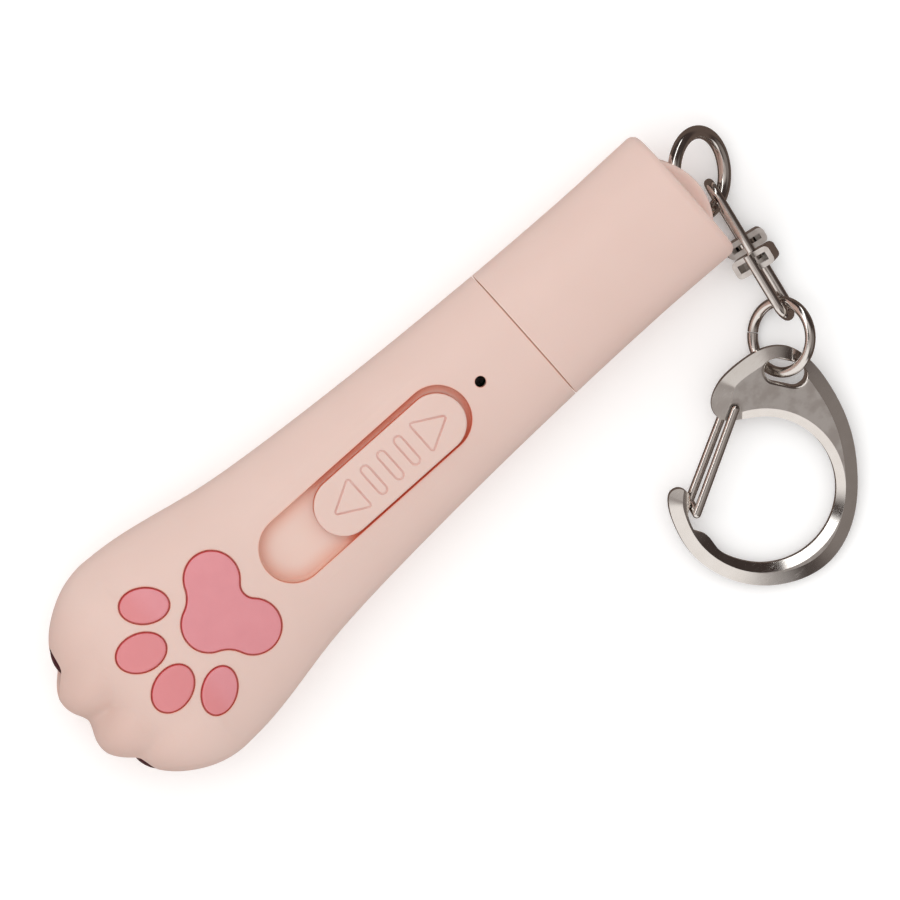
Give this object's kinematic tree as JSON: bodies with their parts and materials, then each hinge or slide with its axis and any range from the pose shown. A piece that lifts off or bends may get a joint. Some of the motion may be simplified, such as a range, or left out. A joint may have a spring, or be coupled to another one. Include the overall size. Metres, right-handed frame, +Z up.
{
  "type": "handheld cat light teaser",
  "caption": "Paw shaped handheld light for playing with a cat, with a thumb slide, soft pads, a pull-off cap over a charging plug, and a swivel snap hook on a ring.",
  "frame": {"origin": "middle of the flat underside that the toy lies on", "axes": "+X from the toes to the cap, +Y to the side of the laser window, +Z up through the pads"},
  "size_m": [0.113, 0.0656, 0.021],
  "materials": {
    "body_plastic": "fine matte moulded plastic",
    "pad_rubber": "soft satin rubber",
    "window_tint": "dark tinted, glossy",
    "plated_steel": "bright nickel plating",
    "plated_casting": "nickel plating, satin on the flat faces",
    "screw_steel": "plain",
    "inner_plastic": "plain moulded",
    "switch_metal": "pressed sheet",
    "board_laminate": "lacquered",
    "battery_wrap": "smooth wrap",
    "lead_cover": "smooth",
    "laser_brass": "turned",
    "lens_glass": "clear",
    "lamp_resin": "clear resin",
    "plug_steel": "plated sheet",
    "contact_gold": "plated"
  },
  "bodies": {
    "housing": {"upper_shell": "body_plastic", "lower_shell": "body_plastic", "main_pad": "pad_rubber", "inner_toe_pad_left": "pad_rubber", "inner_toe_pad_right": "pad_rubber", "outer_toe_pad_left": "pad_rubber", "outer_toe_pad_right": "pad_rubber", "laser_window": "window_tint", "lamp_window": "window_tint", "shell_screws": "screw_steel", "switch_body": "switch_metal", "circuit_board": "board_laminate", "charge_chip": "inner_plastic", "charge_light": "lamp_resin", "battery_cell": "battery_wrap", "battery_leads": "lead_cover", "laser_barrel": "laser_brass", "laser_lens": "lens_glass", "laser_diode": "laser_brass", "laser_leads": "lead_cover", "lamp_led": "lamp_resin", "usb_shell": "plug_steel", "usb_tongue": "inner_plastic", "usb_contacts": "contact_gold"},
    "slider": {"slide_button": "body_plastic", "button_clip": "inner_plastic", "switch_lever": "inner_plastic"},
    "cap": {"end_cap": "body_plastic"},
    "cap_ring": {"lug_ring": "plated_steel"},
    "swivel_top": {"swivel_upper": "plated_steel", "swivel_rivet": "plated_steel"},
    "swivel_bottom": {"swivel_lower": "plated_steel"},
    "split_ring": {"jump_ring": "plated_steel"},
    "hook": {"snap_hook": "plated_casting"},
    "gate": {"wire_gate": "plated_steel"}
  },
  "joints": [
    {"name": "button_slide", "type": "slide", "parent": "housing", "child": "slider", "axis": [-1, 0, 0], "range_m": [0, 0.0086]},
    {"name": "cap_pull", "type": "slide", "parent": "housing", "child": "cap", "axis": [1, 0, 0], "range_m": [0, 0.022]},
    {"name": "lug_ring_swing", "type": "hinge", "parent": "cap", "child": "cap_ring", "pos_m": [0.0618, -0.00165, 0.0061], "axis": [0, 0, 1], "range_deg": [0, 24]},
    {"name": "swivel_swing", "type": "hinge", "parent": "cap_ring", "child": "swivel_top", "pos_m": [0.0652, -0.0043, 0.0032], "axis": [0, 0, 1], "range_deg": [0, 20]},
    {"name": "swivel_spin", "type": "hinge", "parent": "swivel_top", "child": "swivel_bottom", "pos_m": [0.06448, -0.0109, 0.0032], "axis": [-0.1768, -0.9842, 0], "continuous": true},
    {"name": "split_ring_swing", "type": "hinge", "parent": "swivel_bottom", "child": "split_ring", "pos_m": [0.06252, -0.02181, 0.0032], "axis": [0.3366, -0.0605, -0.9397], "range_deg": [0, 40]},
    {"name": "hook_flip", "type": "hinge", "parent": "split_ring", "child": "hook", "pos_m": [0.0598, -0.02655, 0.0038], "axis": [-0.5291, 0.8486, 0], "range_deg": [0, 50]},
    {"name": "gate_swing", "type": "hinge", "parent": "hook", "child": "gate", "pos_m": [0.0491, -0.02604, 0.00385], "axis": [0, -0.1132, 0.9936], "range_deg": [0, 25], "stiffness_Nm_per_rad": 0.02, "springref_deg": -5.73}
  ]
}
